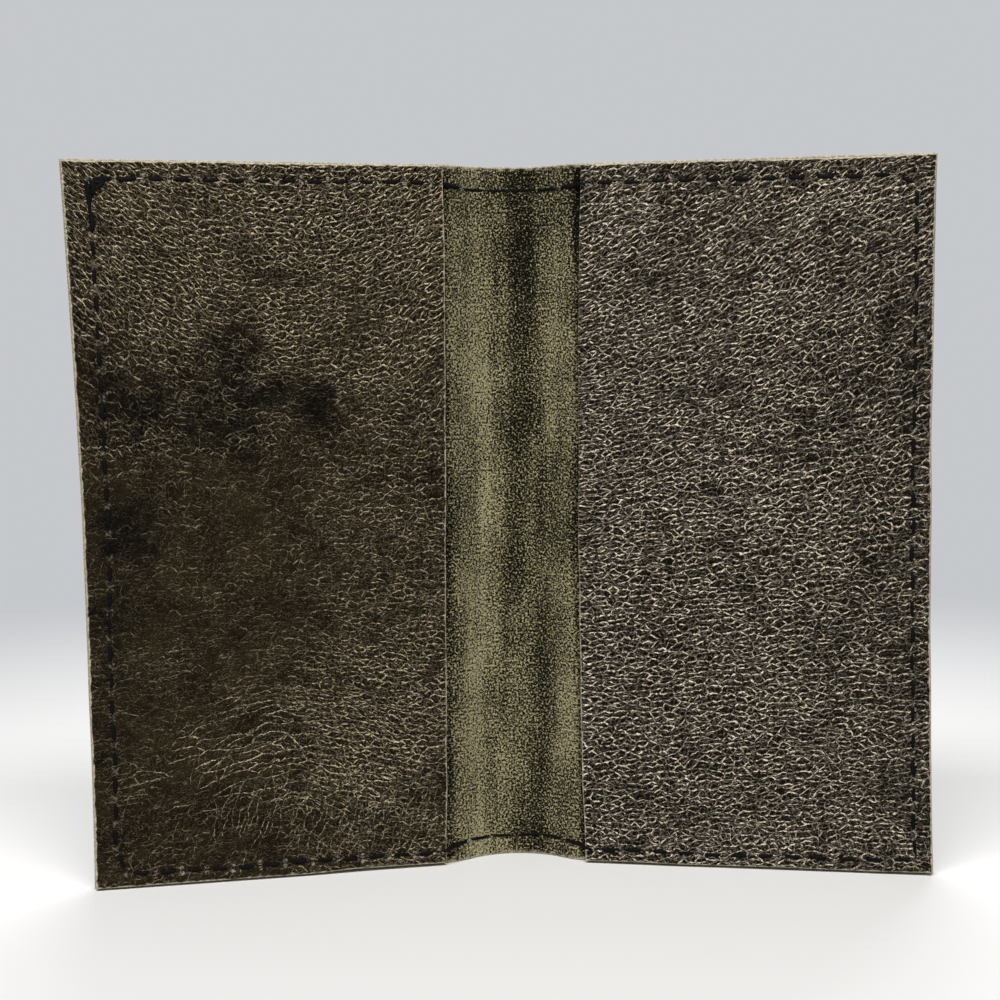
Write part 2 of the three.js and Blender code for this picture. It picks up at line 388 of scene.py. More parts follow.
def make_mesh(name, points, faces, materials, looks=None, face_looks=None):
    """An object from points in metres, faces, materials and the values its materials read."""
    mesh = bpy.data.meshes.new(name)
    mesh.from_pydata(points.tolist(), [], faces)
    for material in materials:
        mesh.materials.append(material)
    mesh.polygons.foreach_set("use_smooth", np.ones(len(faces), bool))
    if face_looks is not None:
        mesh.polygons.foreach_set("material_index", np.asarray(face_looks, np.int32))
    for key, values in (looks or {}).items():
        vector = np.ndim(values) > 1
        attribute = mesh.attributes.new(key, "FLOAT_VECTOR" if vector else "FLOAT", "POINT")
        attribute.data.foreach_set("vector" if vector else "value", np.asarray(values, np.float32).ravel())
    mesh.validate()
    made = bpy.data.objects.new(name, mesh)
    bpy.context.scene.collection.objects.link(made)
    return made


def grid_faces(rows, columns, offset, turned):
    """The four-sided faces of a grid of points, row by row."""
    index = np.arange(rows * columns).reshape(rows, columns) + offset
    corners = [index[:-1, :-1], index[:-1, 1:], index[1:, 1:], index[1:, :-1]]
    if turned:
        corners.reverse()
    return np.stack([corner.ravel() for corner in corners], axis=-1).tolist()


def sheet_mesh(name, fine, coarse, kept, materials, fine_looks, coarse_looks, turned, flat_start=False):
    """A closed sheet with a fine side and a coarse side that shares its rows and some of its columns."""
    rows, columns = fine.shape[:2]
    offset = rows * columns
    fine_at = np.arange(offset).reshape(rows, columns)
    coarse_at = np.arange(rows * len(kept)).reshape(rows, len(kept)) + offset
    faces = grid_faces(rows, columns, 0, turned)
    looks = [0] * len(faces)
    inner = grid_faces(rows, len(kept), offset, not turned)
    faces += inner
    looks += [1] * len(inner)
    rim = []
    for row in range(rows - 1):
        for column, last in ((0, False), (-1, True)):
            quad = [fine_at[row, column], fine_at[row + 1, column],
                    coarse_at[row + 1, column], coarse_at[row, column]]
            rim.append(quad[::-1] if last != turned else quad)
    start_rim = range(len(faces), len(faces) + len(rim), 2)
    for row, upper in ((0, False), (-1, True)):
        for index in range(len(kept) - 1):
            strip = list(fine_at[row, kept[index]:kept[index + 1] + 1])
            loop = [coarse_at[row, index], coarse_at[row, index + 1]] + strip[::-1]
            rim.append(loop[::-1] if upper != turned else loop)
    faces += [[int(corner) for corner in face] for face in rim]
    looks += [0] * len(rim)
    points = np.concatenate([fine.reshape(-1, 3), coarse.reshape(-1, 3)])
    values = {}
    for key, value in fine_looks.items():
        width = value.shape[2:]
        values[key] = np.concatenate([value.reshape(-1, *width), coarse_looks[key].reshape(-1, *width)])
    made = make_mesh(name, points, faces, materials, values, looks)
    if flat_start:
        for index in start_rim:
            made.data.polygons[index].use_smooth = False
    return made


def thread_mesh(name, wing, holes, level, outward, material, dive=0.32, bulk=1.0, taper=0.65, extra=()):
    """Stitches from hole to hole: twisted threads that rise from one hole and taper into the next.

    level gives the leather's face under a stitch, outward is 1 on the pockets' side and -1 on the back,
    and dive is the share of a stitch's length in which each of its ends goes down. bulk scales the thread,
    and taper is how much of it goes at a stitch's ends. Extra stitches are given as two ends, how far the
    stitch bows sideways and how far it lies over the others.
    """
    share = np.linspace(0.0, 1.0, THREAD_RINGS)
    turn = np.linspace(0.0, 2 * math.pi, THREAD_SIDES, endpoint=False)
    chance = np.random.default_rng(wing.seed + len(holes))
    points = []
    places = []
    faces = []
    stitches = [(first, second, chance.uniform(-STITCH_BOW, STITCH_BOW), 0.0)
                for first, second in zip(holes[:-1], holes[1:])]
    for number, (first, second, shift, raised) in enumerate(stitches + list(extra)):
        step = second - first
        length = np.linalg.norm(step)
        along = step / length
        across = np.array([-along[1], along[0]])
        middle = first + share[:, None] * step + across * shift * np.sin(math.pi * share)[:, None]
        rise = ease(0.0, dive, share) * ease(0.0, dive, 1 - share)
        forward = level(middle[:, 0], middle[:, 1])
        forward = forward + outward * (raised - THREAD_SINK - THREAD_DIVE * (1 - rise))
        twist = 2 * math.pi * share * length / TWIST_LENGTH
        lobes = 1 + TWIST_RELIEF * np.cos(3 * (turn[None, :] - twist[:, None]))
        lens = 1 - taper * (1 - np.sin(math.pi * share))
        lobes = bulk * lobes * lens[:, None] * chance.uniform(LEAST_BULK, MOST_BULK)
        sideways = THREAD_HALF_WIDTH * lobes * np.cos(turn)
        upward = THREAD_HALF_HEIGHT * lobes * np.sin(turn)
        out = middle[:, :1] + across[0] * sideways
        up = middle[:, 1:] + across[1] * sideways
        offset = len(points) * THREAD_RINGS * THREAD_SIDES
        points.append(wing.place(out, forward[:, None] + outward * upward, up).reshape(-1, 3))
        ring_place = np.stack([np.broadcast_to(turn, out.shape) * THREAD_HALF_WIDTH,
                               np.broadcast_to((share * length)[:, None], out.shape),
                               np.full(out.shape, float(number))], axis=-1)
        places.append(ring_place.reshape(-1, 3))
        index = np.arange(THREAD_RINGS * THREAD_SIDES).reshape(THREAD_RINGS, THREAD_SIDES) + offset
        beside = np.roll(index, -1, axis=1)
        quads = np.stack([index[:-1], beside[:-1], beside[1:], index[1:]], axis=-1).reshape(-1, 4)
        caps = [index[0][::-1].tolist(), index[-1].tolist()]
        own = quads.tolist() + caps
        flip = wing.side * outward > 0
        faces += [face[::-1] for face in own] if flip else own
    made = make_mesh(name, np.concatenate(points), faces, [material], {"place": np.concatenate(places)})
    return made


# Materials

@dataclass
class Cells:
    """A pattern of creased cells, in millimetres."""

    length: float
    height: float
    depth: float
    line: float              # how wide their painted rim highlights and painted crease shade are
    turn: float = 0.0
    upright: float = 0.05    # the share of a rim's shine that is left on a cell's upright sides
    joined: float = 0.15     # the share that is left where rims meet


class Nodes:
    """A tree of nodes, each made and joined up in one call."""

    def __init__(self, tree):
        self.tree = tree

    def feed(self, socket, value):
        if isinstance(value, bpy.types.NodeSocket):
            self.tree.links.new(value, socket)
        else:
            socket.default_value = value

    def node(self, kind, inputs, **settings):
        made = self.tree.nodes.new(kind)
        for key, value in settings.items():
            setattr(made, key, value)
        for key, value in inputs.items():
            self.feed(made.inputs[key], value)
        return made

    def math(self, operation, first, second=0.0):
        return self.node("ShaderNodeMath", {0: first, 1: second}, operation=operation).outputs["Value"]


class Shader(Nodes):
    """A material with one surface, and the patterns and sums that its colours are made of."""

    def __init__(self, name):
        self.material = bpy.data.materials.new(name)
        self.material.use_nodes = True
        super().__init__(self.material.node_tree)
        self.surface = self.tree.nodes["Principled BSDF"]

    def times(self, first, *others):
        for other in others:
            first = self.math("MULTIPLY", first, other)
        return first

    def plus(self, first, *others):
        for other in others:
            first = self.math("ADD", first, other)
        return first

    def value(self, name):
        """A number that the mesh carries at each of its points."""
        return self.node("ShaderNodeAttribute", {}, attribute_name=name).outputs["Fac"]

    def vector(self, name):
        """Three numbers that the mesh carries at each of its points."""
        return self.node("ShaderNodeAttribute", {}, attribute_name=name).outputs["Vector"]

    def scaled(self, vector, scale, turn=0.0):
        return self.node("ShaderNodeMapping", {
            "Vector": vector, "Scale": scale, "Rotation": (0.0, 0.0, turn),
        }).outputs["Vector"]

    def noise(self, vector, scale, detail=3.0, rough=0.55):
        return self.node("ShaderNodeTexNoise", {
            "Vector": vector, "Scale": scale, "Detail": detail, "Roughness": rough,
        }).outputs["Fac"]

    def warped(self, vector, scale, amount):
        """Places that drift to and fro by up to half this amount."""
        drift = self.node("ShaderNodeTexNoise", {"Vector": vector, "Scale": scale, "Detail": 2.0})
        centred = self.vector_math("SUBTRACT", drift.outputs["Color"], (0.5, 0.5, 0.5))
        return self.node("ShaderNodeVectorMath", {0: centred, 1: (amount, amount, 0.0), 2: vector},
                         operation="MULTIPLY_ADD").outputs["Vector"]

    def creased(self, vector, cells, share):
        """Creased cells: their relief, a painted highlight along their upper rims and painted shade along
        their lower edges, in the creases.

        share is the share of the cells whose rims carry the painted highlight, and how deep the relief and
        how dark the painted crease shade are.
        """
        size = (cells.length, cells.height, 1.0)
        spread = self.node("ShaderNodeMapping", {
            "Vector": vector, "Scale": size, "Rotation": (0.0, 0.0, cells.turn),
        }, vector_type="TEXTURE").outputs["Vector"]
        own, other = [
            self.node("ShaderNodeTexVoronoi", {"Vector": spread, "Scale": 1.0, "Randomness": 1.0},
                      voronoi_dimensions="2D", feature=feature).outputs
            for feature in ("F1", "F2")]
        between = self.vector_math("SUBTRACT", other["Position"], own["Position"])
        slope = self.vector_math("DIVIDE", between, size)
        steep = self.vector_math("LENGTH", slope)
        gap = self.times(self.math("SUBTRACT", other["Distance"], own["Distance"]),
                         self.plus(other["Distance"], own["Distance"]))
        border = self.math("DIVIDE", gap, self.times(steep, 2.0))
        upward = self.node("ShaderNodeSeparateXYZ", {"Vector": slope}).outputs["Y"]
        facing = self.math("DIVIDE", upward, steep)
        halfway = self.vector_math("MULTIPLY", self.vector_math("ADD", other["Position"], own["Position"]),
                                   (0.5, 0.5, 0.0))
        away = self.vector_math("MULTIPLY", self.vector_math("SUBTRACT", spread, halfway),
                                (cells.length, cells.height, 0.0))
        aside = self.vector_math("LENGTH", away)
        chance = self.node("ShaderNodeSeparateColor", {"Color": own["Color"]}).outputs["Red"]
        relief = self.times(self.ramp(border, 0.0, 0.3 * cells.height, 0.0, cells.depth, "LINEAR"), share)
        rim = self.times(
            self.ramp(border, 0.5 * cells.line, 1.3 * cells.line, 1.0, 0.0),
            self.ramp(facing, 0.1, 0.8, cells.upright, 1.0),
            self.ramp(aside, 0.15 * cells.length, 0.42 * cells.length, 1.0, cells.joined),
            self.ramp(self.plus(chance, share), 0.75, 1.3))
        crease_shade = self.times(
            self.ramp(border, cells.line, 3.0 * cells.line, 1.0, 0.0),
            self.ramp(facing, -0.6, 0.2, 1.0, 0.2),
            share)
        return relief, rim, crease_shade

    def ramp(self, value, start, end, first=0.0, last=1.0, climb="SMOOTHSTEP"):
        """From first to last while a value goes from start to end."""
        return self.node("ShaderNodeMapRange", {
            "Value": value, "From Min": start, "From Max": end, "To Min": first, "To Max": last,
        }, interpolation_type=climb).outputs["Result"]

    def vector_math(self, operation, first, second=(0.0, 0.0, 0.0)):
        made = self.node("ShaderNodeVectorMath", {0: first, 1: second}, operation=operation)
        return made.outputs["Value" if operation == "LENGTH" else "Vector"]

    # a mix node's sockets go by number, because those for numbers and for colours share their names

    def mix(self, share, first, second):
        """The first colour with this share of the second one in it."""
        return self.node("ShaderNodeMix", {0: share, 6: first, 7: second}, data_type="RGBA").outputs[2]

    def blend(self, share, first, second):
        """The first number with this share of the second one in it."""
        return self.node("ShaderNodeMix", {0: share, 2: first, 3: second}).outputs[0]

    def bump(self, height, depth):
        return self.node("ShaderNodeBump", {
            "Height": height, "Distance": depth * MM, "Strength": 1.0,
        }).outputs["Normal"]

    def finish(self, colour, roughness, normal, gloss, tint=(1.0, 1.0, 1.0, 1.0), sheen=0.0):
        """The material, with its surface's looks joined up."""
        looks = {"Base Color": colour, "Roughness": roughness, "Normal": normal,
                 "Specular IOR Level": gloss, "Specular Tint": tint, "Sheen Weight": sheen}
        for name, value in looks.items():
            self.feed(self.surface.inputs[name], value)
        return self.material


RAW_PALE = (0.6, 0.55, 0.43, 1.0)
RAW_TAN = (0.34, 0.295, 0.205, 1.0)
# painted highlight at the stitch holes
HOLE_HIGHLIGHT = (0.26, 0.235, 0.195, 1.0)
STAINED = (0.002, 0.0019, 0.0018, 1.0)
# painted shade for the creases under the cells' rims
CREASE_SHADE = (0.0016, 0.0012, 0.0007, 1.0)
WAXED = (1.0, 0.88, 0.68, 1.0)           # the leather's dressing tints its gloss
NAP_GROUND = (0.0025, 0.002, 0.0007, 1.0)
NAP_OLIVE = (0.11, 0.097, 0.045, 1.0)
NAP_PALE = (0.47, 0.425, 0.25, 1.0)
THREAD_DARK = (0.0012, 0.0012, 0.0013, 1.0)
THREAD_LIT = (0.005, 0.005, 0.0056, 1.0)


def raw_fibre(shader, place):
    """The colour of a cut edge: pale fibres over tan."""
    fibre = shader.noise(shader.scaled(place, (2.2, 2.2, 2.2)), 1.0, detail=4.0, rough=0.7)
    return shader.mix(shader.ramp(fibre, 0.35, 0.65), RAW_TAN, RAW_PALE)


def stitch_marks(shader):
    """Painted highlights at the holes: pale lumps beside a level seam, faint crosses on an upright one."""
    ragged = shader.warped(shader.vector("seam"), 1.7, 0.5)
    folded = shader.vector_math("ABSOLUTE", shader.vector_math("MULTIPLY", ragged, (1.0, 1.0, 0.0)))
    parts = shader.node("ShaderNodeSeparateXYZ", {"Vector": folded}).outputs
    beside = shader.vector_math("LENGTH", shader.vector_math("SUBTRACT", folded, (0.0, PUCKER_ASIDE, 0.0)))
    lumps = shader.ramp(beside, 0.22, 0.38, 1.0, 0.0)
    off_cross = shader.math("ABSOLUTE", shader.math("SUBTRACT", parts["X"], parts["Y"]))
    away = shader.vector_math("LENGTH", folded)
    cross = shader.times(shader.ramp(off_cross, 0.06, 0.26, 0.4, 0.0),
                         shader.ramp(away, 0.45, 0.85, 1.0, 0.0))
    marks = shader.blend(shader.value("upright"), lumps, cross)
    broken = shader.noise(shader.vector("place"), 2.1)
    return shader.times(marks, shader.ramp(broken, 0.42, 0.58))


LONG_WRINKLES = Cells(length=3.8, height=1.3, depth=0.08, line=0.1, joined=0.55)
GATHERS = Cells(length=2.6, height=0.75, depth=0.05, line=0.08, turn=math.radians(-70.0), joined=0.6)


def grain_leather(name, dark, lit, painted_highlight, coarse, fine):
    """Grain leather in a coarse and a fine pattern of creased cells, with painted highlights on their upper
    rims and painted shade in their creases.

    The mesh says where the coarse cells are bold, where the leather is wrinkled, gathered by the seam,
    stained or given painted shade, where the stitches get painted highlights, and where it is cut.
    """
    shader = Shader(name)
    place = shader.vector("place")
    stain_and_shade = shader.value("stain_and_shade")
    raw = shader.value("raw")
    wrinkled = shader.value("wrinkled")
    patch = shader.noise(place, 0.16, detail=3.0)
    mottle = shader.noise(place, 0.6, detail=4.0)
    pores = shader.noise(place, 5.0, detail=2.0)
    beads = shader.noise(place, 1.9, detail=2.0)
    marks = shader.times(stitch_marks(shader), shader.value("hole_highlight"))
    strength = shader.times(shader.value("bold"), shader.ramp(patch, 0.32, 0.6, 0.75, 1.1))
    wavy = shader.vector("grain")
    for scale, amount in ((0.12, 2.2), (0.75, 0.6), (1.9, 0.5)):
        wavy = shader.warped(wavy, scale, amount)
    # each pattern's cells, the share of them that shows, and how bright the painted highlights on their
    # rims are
    patterns = (
        (coarse, strength, shader.ramp(strength, 0.1, 1.3, 0.25, 1.0)),
        (fine, shader.ramp(strength, 0.2, 1.0, 0.65, 0.85), shader.ramp(strength, 0.2, 1.3, 0.13, 0.34)),
        (LONG_WRINKLES, wrinkled, shader.ramp(wrinkled, 0.0, 1.0, 0.35, 1.0)),
        (GATHERS, shader.value("gathered"), 0.6),
    )
    relief = shader.plus(shader.times(pores, 0.02), shader.times(marks, 0.06))
    # below: the painted rim highlights and the painted crease shade of all the patterns
    highlight_share = 0.0
    creases = 0.0
    for cells, share, shine in patterns:
        height, rim, crease_shade = shader.creased(wavy, cells, share)
        relief = shader.plus(relief, height)
        highlight_share = shader.math("MAXIMUM", highlight_share, shader.times(rim, shine))
        creases = shader.math("MAXIMUM", creases, crease_shade)
    highlight_share = shader.times(
        highlight_share,
        shader.ramp(pores, 0.35, 0.6, 0.6, 1.0),
        shader.ramp(beads, 0.4, 0.56, 0.2, 1.0),
        shader.ramp(stain_and_shade, 0.0, 1.0, 1.0, 0.25, "LINEAR"))
    tone = shader.plus(shader.times(patch, 0.3), shader.times(mottle, 0.2), shader.times(pores, 0.4))
    tone = shader.math("SUBTRACT", tone, shader.times(strength, 0.06))
    colour = shader.mix(shader.ramp(tone, 0.28, 0.53), dark, lit)
    # painted shade in the creases along the cells' lower edges
    colour = shader.mix(shader.times(creases, 0.85), colour, CREASE_SHADE)
    # real black stains on the left pocket; painted shade along the cover's fold lines
    colour = shader.mix(stain_and_shade, colour, STAINED)
    # painted highlights: the pale upper rims of the cells
    colour = shader.mix(highlight_share, colour, painted_highlight)
    # painted highlights at the stitch holes
    colour = shader.mix(marks, colour, HOLE_HIGHLIGHT)
    colour = shader.mix(raw, colour, raw_fibre(shader, place))
    rough = shader.ramp(mottle, 0.3, 0.7, 0.28, 0.4)
    rough = shader.blend(shader.math("MAXIMUM", raw, marks), rough, 0.8)
    return shader.finish(colour, rough, shader.bump(relief, 1.0), gloss=0.04, tint=WAXED)


def suede_leather(name):
    """The cover's flesh side: pale olive specks of nap on a dark ground, thicker in long faint streaks."""
    shader = Shader(name)
    place = shader.vector("place")
    nap = shader.noise(place, 3.1, detail=3.0, rough=0.7)
    streak = shader.noise(shader.scaled(place, (0.3, 0.028, 1.0)), 1.0, detail=4.0, rough=0.6)
    patch = shader.noise(place, 0.13, detail=4.0)
    tone = shader.plus(shader.ramp(streak, 0.3, 0.7, -0.03, 0.03),
                       shader.ramp(patch, 0.3, 0.7, -0.02, 0.02))
    # darker suede where the mesh says so: painted shadow beside the pockets' mouths, and darker by place
    # elsewhere
    speckle = shader.math("SUBTRACT", shader.plus(nap, tone), shader.times(shader.value("stain_and_shade"), 0.09))
    colour = shader.mix(shader.ramp(speckle, 0.45, 0.53), NAP_GROUND, NAP_OLIVE)
    colour = shader.mix(shader.ramp(speckle, 0.5, 0.6), colour, NAP_PALE)
    colour = shader.mix(shader.value("raw"), colour, raw_fibre(shader, place))
    return shader.finish(colour, 0.95, shader.bump(speckle, 0.4), gloss=0.06, sheen=0.04)


def black_thread(name):
    """Waxed black thread with fine fibres along its twist."""
    shader = Shader(name)
    fibre = shader.noise(shader.scaled(shader.vector("place"), (14.0, 3.0, 1.0), 0.6), 1.0, detail=3.0)
    colour = shader.mix(fibre, THREAD_DARK, THREAD_LIT)
    rough = shader.ramp(fibre, 0.3, 0.7, 0.5, 0.8)
    return shader.finish(colour, rough, shader.bump(fibre, 0.08), gloss=0.08)


left_leather = grain_leather(
    "fine_grain_leather",
    dark=(0.0016, 0.0011, 0.0004, 1.0), lit=(0.0255, 0.018, 0.0083, 1.0), painted_highlight=(0.74, 0.62, 0.41, 1.0),
    coarse=Cells(length=1.6, height=0.85, depth=0.06, line=0.115, joined=0.25),
    fine=Cells(length=0.64, height=0.48, depth=0.025, line=0.085, upright=0.4, joined=0.3))
right_leather = grain_leather(
    "pebbled_leather",
    dark=(0.0012, 0.0009, 0.0005, 1.0), lit=(0.016, 0.0125, 0.0075, 1.0), painted_highlight=(1.0, 0.87, 0.67, 1.0),
    coarse=Cells(length=1.7, height=0.9, depth=0.08, line=0.14, joined=0.3),
    fine=Cells(length=0.8, height=0.52, depth=0.03, line=0.09, upright=0.25, joined=0.3))
cover_leather = grain_leather(
    "cover_grain_leather",
    dark=(0.0045, 0.0034, 0.0019, 1.0), lit=(0.05, 0.04, 0.026, 1.0), painted_highlight=(0.7, 0.61, 0.48, 1.0),
    coarse=Cells(length=1.5, height=1.0, depth=0.1, line=0.11),
    fine=Cells(length=0.72, height=0.48, depth=0.03, line=0.08, upright=0.3, joined=0.3))
suede = suede_leather("olive_suede")
thread = black_thread("black_sewing_thread")


# The pockets

def pebbles(out, up, seed, cell, slant):
    """Pebbled grain from 0 in the creases to 1 on the pebbles, in cells this long and tall."""
    across = out + 0.9 * noise(out / 3.1, up / 3.1, seed) + slant * up
    upward = up + 0.5 * noise(out / 2.3, up / 2.3, seed + 1) - slant * out
    border = cell_border(across / cell[0] + 500, upward / cell[1] + 500, seed + 2)
    return ease(0.0, 0.32, border)


def creases(out, up, seed, length, spacing):
    """Long fine wrinkles, from 0 on the leather to 1 along each wrinkle."""
    drift = 1.6 * noise(out / 8.0, up / 8.0, seed)
    waves = noise(out / length, (up + drift) / spacing, seed + 1)
    return hump(waves, 0.16)


def left_relief(out, up):
    """The left pocket's uneven face under its grain."""
    grain = pebbles(out, up, seed=47, cell=(1.9, 1.1), slant=-0.12)
    gathers = creases(up, out, seed=45, length=6.0, spacing=0.9) * left_gathered(out, up)
    return 0.03 * grain - 0.05 * gathers


def left_climb(out, up):
    """How far the left pocket's grain lines rise: in mid-wing they dip high up and arch low down."""
    dip = 0.012 * np.square(out - 24.0) * ease(50.0, 90.0, up)
    arch = 5.0 * hump(out - 27.0, 14.0) * ease(48.0, 18.0, up)
    return dip + arch


def left_bold(out, up):
    """Where the left pocket's grain is bold, with more painted highlights: high up, beside the mouth, and
    by the wrinkles low down.
    """
    drift = noise(out / 8.0, up / 8.0, seed=43)
    upper = ease(56.0, 86.0, up + 6.0 * drift)
    by_mouth = ease(34.0, 4.0, out + 5.0 * drift)
    low = hump(np.hypot((out - 10.0) / 14.0, (up - 25.0) / 20.0), 1.0)
    # a painted sheen: brighter painted highlights at the top beside the mouth
    painted_sheen_top = 0.9 * ease(84.0, 94.0, up) * ease(32.0, 14.0, out)
    most = np.maximum(upper, np.maximum(0.75 * by_mouth, 1.15 * low))
    return np.clip(0.3 + 0.75 * most + 0.15 * drift + painted_sheen_top, 0.1, 1.6)


def left_wrinkled(out, up):
    """Where the left pocket has long wrinkles: in an arch low down, and at the top beside its mouth."""
    arch = hump(np.hypot((out - 20.0) / 24.0, (up - 19.0) / 9.0), 1.0)
    low = 0.15 * ease(58.0, 44.0, up) + 1.1 * arch
    upper = ease(84.0, 92.0, up) * ease(24.0, 10.0, out)
    return np.maximum(low, 0.5 * upper) * (0.75 + 0.45 * noise(out / 4.0, up / 2.5, seed=44))


def left_gathered(out, up):
    """Where the bottom seam draws the left pocket up into fine upright wrinkles."""
    low = hump(np.hypot((out - 18.0) / 19.0, (up - 7.5) / 7.0), 1.0)
    return 0.85 * low * (0.7 + 0.6 * noise(out / 3.0, up / 3.0, seed=46))


def right_relief(out, up):
    """The right pocket's pebbles, split by creases that climb outward near the top."""
    grain = pebbles(out, up, seed=61, cell=(1.9, 1.25), slant=-0.12)
    level = creases(out, up - right_climb(out, up), seed=65, length=5.0, spacing=1.1)
    return 0.04 * grain - 0.03 * level


def right_climb(out, up):
    """How far the right pocket's grain lines rise: they climb outward, most so near the top."""
    return (0.1 + 0.32 * ease(40.0, 95.0, up)) * (out - 26.0)


def right_bold(out, up):
    """How bold the right pocket's grain is, a broad painted sheen of its highlights: most so low down
    beside the mouth, least at the outer edge.
    """
    low = 0.3 * hump(np.hypot((out - 12.0) / 26.0, (up - 32.0) / 36.0), 1.0)
    by_edge = 0.2 * ease(34.0, 52.0, out)
    return 1.0 + low - by_edge + 0.1 * noise(out / 9.0, up / 9.0, seed=63)


def right_wrinkled(out, up):
    """Where the right pocket's creases join up into longer wrinkles."""
    return 0.25 + 0.4 * ease(74.0, 92.0, up) * ease(28.0, 46.0, out)


def right_gathered(out, up):
    """Where the bottom seam draws the right pocket up into fine upright wrinkles."""
    return 0.35 * ease(9.0, 5.0, up) * ease(1.0, 3.5, up)


LEFT_STAINS = (
    # out, up, half width, half height, strength
    (33.0, 76.0, 3.0, 5.0, 1.0),
    (29.5, 70.0, 4.6, 3.2, 0.95),
    (20.2, 68.5, 3.4, 4.0, 1.0),
    (31.5, 65.0, 4.5, 3.0, 0.9),
    (37.5, 66.0, 4.5, 3.6, 0.75),
    (44.5, 68.0, 4.2, 4.0, 0.9),
    (50.0, 70.0, 3.4, 8.0, 0.7),
    (48.0, 51.0, 5.0, 6.5, 0.85),
    (50.0, 38.0, 3.4, 18.0, 0.5),
    (8.0, 62.0, 2.5, 9.0, 0.25),
    (55.0, 86.0, 2.6, 20.0, 0.55),
)


def left_stain(out, up):
    """The black blotches on the left pocket, with ragged borders."""
    ragged_out = out + 1.8 * noise(out / 2.2, up / 2.2, seed=71) + 1.2 * noise(out / 0.7, up / 0.7, seed=72)
    ragged_up = up + 1.8 * noise(out / 2.2, up / 2.2, seed=73) + 1.2 * noise(out / 0.7, up / 0.7, seed=74)
    dark = np.zeros(np.shape(out))
    for at_out, at_up, width, height, strength in LEFT_STAINS:
        spot = hump(np.hypot((ragged_out - at_out) / width, (ragged_up - at_up) / height), 1.0)
        dark = np.maximum(dark, strength * spot)
    return 0.95 * ease(0.0, 0.95, dark)


def right_outer_darkening(out, up):
    """A faint darkening towards the right pocket's outer edge."""
    return 0.25 * ease(40.0, 54.0, out) * (0.6 + 0.4 * noise(out / 6.0, up / 6.0, seed=81))


def pocket_gap(wing, out, up):
    """How far a pocket's back stands off the cover: pressed on at the seam, a card's slot inside it."""
    style = wing.style
    inside = np.minimum(wing.seam_line(up) - out, wing.height - style.seam_top - up)
    inside = np.minimum(inside, up - style.seam_bottom)
    puff = ease(0.0, PUFF_WIDTH, inside)
    flare = 0.12 * ease(0.0, 2.6, -inside)
    return RIM_GAP + (wing.slot - RIM_GAP) * puff + flare


def pocket_face(wing, out, up):
    """A pocket's front face before its grain, forward of the cover's middle."""
    return wing.cover_half + pocket_gap(wing, out, up) + wing.pocket_thickness


def build_pocket(name, wing, leather, shape):
    """A pocket's hide, from functions that give its relief and its looks at each place."""
    relief, climb, bold, wrinkled, gathered, stain_and_shade = shape
    width = (wing.reach_low + wing.reach_high) / 2 - SIDE_MARGIN - wing.mouth
    columns = stations(0.0, width, POCKET_STEP)
    rows = stations(0.0, wing.height - 2 * wing.margin, POCKET_STEP)
    across, upward = np.meshgrid(columns, rows)
    edge = np.minimum(np.minimum(across, width - across), np.minimum(upward, rows[-1] - upward))
    share = upward / rows[-1]
    ends = EDGE_WANDER * noise(across / 7.0, np.round(share), wing.seed + 5)
    up = wing.margin + upward + ends * (2 * share - 1) ** 4
    mouth = wing.mouth + wing.style.mouth_line(share) + EDGE_WANDER * noise(up / 6.0, 0.5, wing.seed + 6)
    outer = wing.reach(up) - SIDE_MARGIN + 0.5 * EDGE_WANDER * noise(up / 4.0, 0.5, wing.seed + 7)
    out = mouth + across / width * (outer - mouth)
    rise, seam, upright = sewn(out, up, wing.holes)
    drop = cut_drop(edge)
    inner = ease(0.0, 1.5, edge)
    front = pocket_face(wing, out, up) - drop + rise + relief(out, up) * (0.3 + 0.7 * inner)
    first_inner = len(CUT_STATIONS)
    last_inner = len(columns) - len(CUT_STATIONS)
    kept = np.concatenate([np.arange(first_inner), np.arange(first_inner, last_inner, HIDDEN_STEP),
                           np.arange(last_inner, len(columns))])
    back = (wing.cover_half + pocket_gap(wing, out, up) + drop)[:, kept]
    raw = ease(RAW_WIDTH, RAW_WIDTH * 0.55, edge + 0.1 * noise(out / 0.5, up / 0.5, wing.seed + 8))
    # painted shade: the mouth's pale cut edge gives way to the leather's dark colour higher up
    raw = raw * (1 - wing.style.shaded_mouth * ease(32.0, 56.0, up) * ease(1.0, 0.6, across))
    depth = np.full(out.shape, 10.0 * wing.side)      # sets the two pockets apart in the noise
    looks = {
        "place": np.stack([out, up, depth], axis=-1),
        "grain": np.stack([out, up - climb(out, up), depth], axis=-1),
        "seam": seam, "upright": upright,
        "bold": bold(out, up), "wrinkled": wrinkled(out, up), "gathered": gathered(out, up),
        "stain_and_shade": stain_and_shade(out, up), "hole_highlight": np.full(out.shape, wing.style.highlight_share), "raw": raw,
    }
    hidden = {key: value[:, kept] for key, value in looks.items()}
    hidden["place"] = hidden["place"] - [0.0, 0.0, wing.pocket_thickness]
    made = sheet_mesh(
        name, wing.place(out, front, up), wing.place(out[:, kept], back, up[:, kept]), kept,
        [leather, suede], looks, hidden, turned=wing.side < 0)
    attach(made, wing.body)
    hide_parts(wing.pocket)


# The cover, in two halves that meet at the spine's middle

def spine_darkening(wing, out, up):
    """How dark the suede is: across the spine, from its left fold to its right one, and near the top; the
    bands beside the pockets' mouths are painted shadow.
    """
    across = wing.side * (out + wing.half_spine)
    fold_strip = wing.half_spine + wing.mouth
    # painted shadow beside each pocket's mouth
    shadow_beside_mouths = 0.5 * hump(across + fold_strip - 0.5, 0.6) + 0.8 * hump(across - fold_strip + 0.4, 0.7)
    middle = 0.4 * hump(across - 2.4, 3.8) - 0.35 * hump(across + 6.0, 3.0)
    return middle + shadow_beside_mouths + 0.3 * ease(72.0, 100.0, up)


